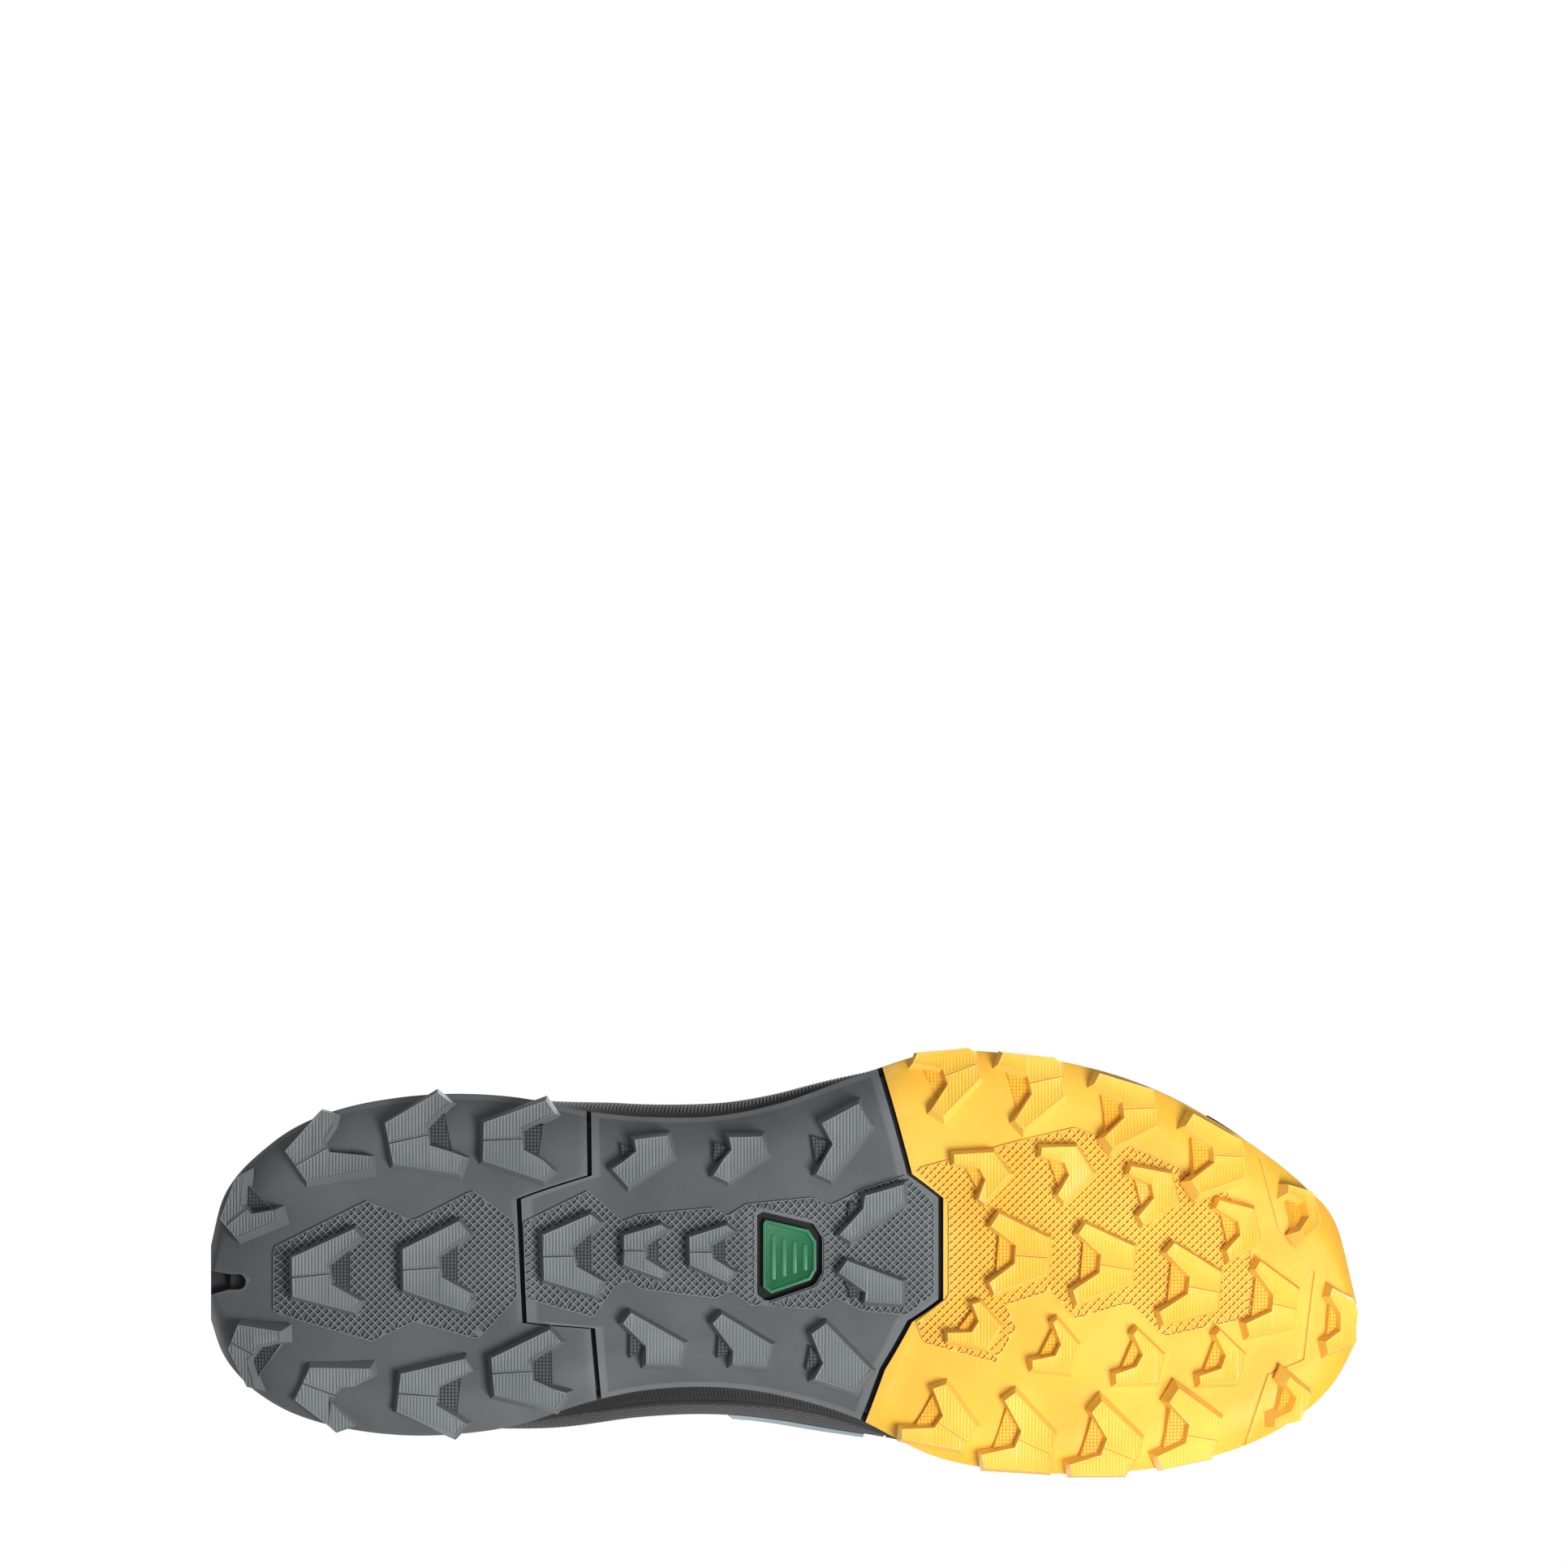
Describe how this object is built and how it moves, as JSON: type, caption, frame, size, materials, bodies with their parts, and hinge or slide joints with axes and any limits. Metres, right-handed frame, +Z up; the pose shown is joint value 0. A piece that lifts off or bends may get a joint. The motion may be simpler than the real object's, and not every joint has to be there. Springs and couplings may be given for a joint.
{
  "type": "running shoe",
  "caption": "Low-cut trail running shoe with a lugged rubber outsole, foam midsole, mesh upper with bonded overlays, padded collar and tongue, and cord lacing.",
  "frame": {"origin": "on the ground under the middle of the shoe's box, where the lugs stand", "axes": "+X to the toe, +Y to the inner (medial) side of this right shoe, +Z up"},
  "size_m": [0.294, 0.1091, 0.119],
  "materials": {
    "grey_rubber": "moulded, matte",
    "yellow_rubber": "moulded, matte",
    "green_rubber": "moulded, satin",
    "black_foam": "fine-textured moulded foam",
    "pale_board": "non-woven board",
    "sockliner_knit": "brushed knit on foam",
    "black_mesh": "engineered mesh",
    "black_overlay": "bonded film, matte",
    "blue_grey_overlay": "bonded film, matte",
    "lining_textile": "padded lining knit",
    "webbing": "woven webbing",
    "lace_cord": "braided cord",
    "toggle_plastic": "moulded, satin"
  },
  "bodies": {
    "shoe": {"outsole_heel": "grey_rubber", "outsole_midfoot": "grey_rubber", "outsole_badge": "green_rubber", "midsole_rear": "black_foam", "strobel_board": "pale_board", "sockliner": "sockliner_knit", "quarter_lateral": "black_mesh", "quarter_medial": "black_mesh", "vamp": "black_mesh", "side_band_lateral": "blue_grey_overlay", "side_band_medial": "blue_grey_overlay", "heel_cap": "black_overlay", "heel_counter": "pale_board", "collar_lining": "lining_textile", "eyestay_lateral": "black_overlay", "eyestay_medial": "black_overlay", "lace_loops_lateral": "webbing", "lace_loops_medial": "webbing", "lace_cord": "lace_cord", "lace_toggle": "toggle_plastic", "tongue_lower": "black_mesh"},
    "toe": {"outsole_forefoot": "yellow_rubber", "midsole_forefoot": "black_foam", "toe_cap": "black_overlay", "toe_puff": "pale_board"},
    "tongue_top": {"tongue_pad": "lining_textile"},
    "pull_loop": {"heel_pull_loop": "webbing"}
  },
  "joints": [
    {"name": "toe_flex", "type": "hinge", "parent": "shoe", "child": "toe", "pos_m": [0.028, 0, 0.0285], "axis": [0, -1, 0], "range_deg": [0, 25], "stiffness_Nm_per_rad": 4, "deforming": ["vamp", "strobel_board", "sockliner"]},
    {"name": "tongue_fold", "type": "hinge", "parent": "shoe", "child": "tongue_top", "pos_m": [-0.0409, 0.001, 0.0975], "axis": [0, 1, 0], "range_deg": [-10, 12], "stiffness_Nm_per_rad": 0.08},
    {"name": "pull_loop_flip", "type": "hinge", "parent": "shoe", "child": "pull_loop", "pos_m": [-0.1418, 0.005, 0.0945], "axis": [0, 1, 0], "range_deg": [-60, 0], "stiffness_Nm_per_rad": 0.01}
  ]
}
